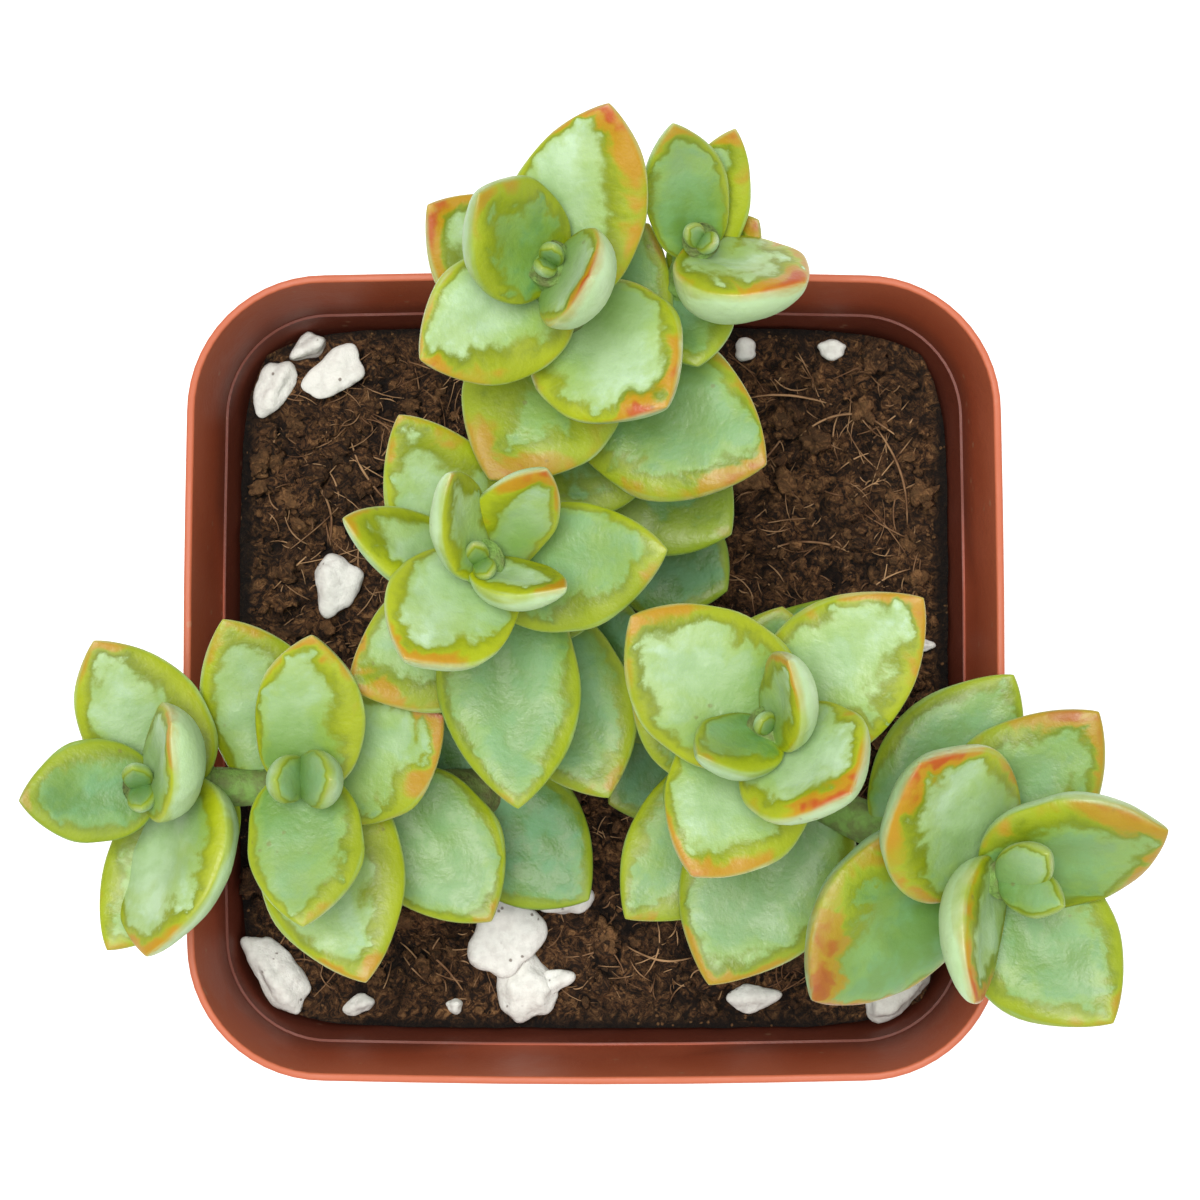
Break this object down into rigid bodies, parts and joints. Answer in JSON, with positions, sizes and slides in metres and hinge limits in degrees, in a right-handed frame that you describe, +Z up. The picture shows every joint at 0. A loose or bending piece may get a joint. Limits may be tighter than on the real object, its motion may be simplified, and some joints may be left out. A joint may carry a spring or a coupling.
{
  "type": "potted crassula rupestris",
  "caption": "Potted crassula rupestris: pairs of pointed fleshy leaves with coloured margins stacked along branching stems, in dark soil with perlite, in a square plastic nursery pot.",
  "frame": {"origin": "middle of the pot's flat underside", "axes": "+Z up out of the pot; +X to the right and +Y to the back for someone looking straight down as in the picture"},
  "size_m": [0.0733, 0.0628, 0.0871],
  "materials": {
    "pot": "terracotta-brown moulded plastic, satin, lighter on the rim, a little dusty",
    "soil": "damp dark peat with crumbs and fine fibres, matt",
    "leafy": "waxy pale mint bloom over green, with yellow to red bands along the leaf margins",
    "perlite": "white porous grain with fine dark specks, matt"
  },
  "bodies": {
    "root": {"pot": "pot", "soil": "soil", "stem_back": "leafy", "stem_middle": "leafy", "stem_left": "leafy", "stem_right": "leafy", "perlite_01": "perlite", "perlite_02": "perlite", "perlite_03": "perlite", "perlite_04": "perlite", "perlite_05": "perlite", "perlite_06": "perlite", "perlite_07": "perlite", "perlite_08": "perlite", "perlite_09": "perlite", "perlite_10": "perlite", "perlite_11": "perlite", "perlite_12": "perlite", "perlite_13": "perlite", "perlite_14": "perlite"}
  },
  "joints": []
}
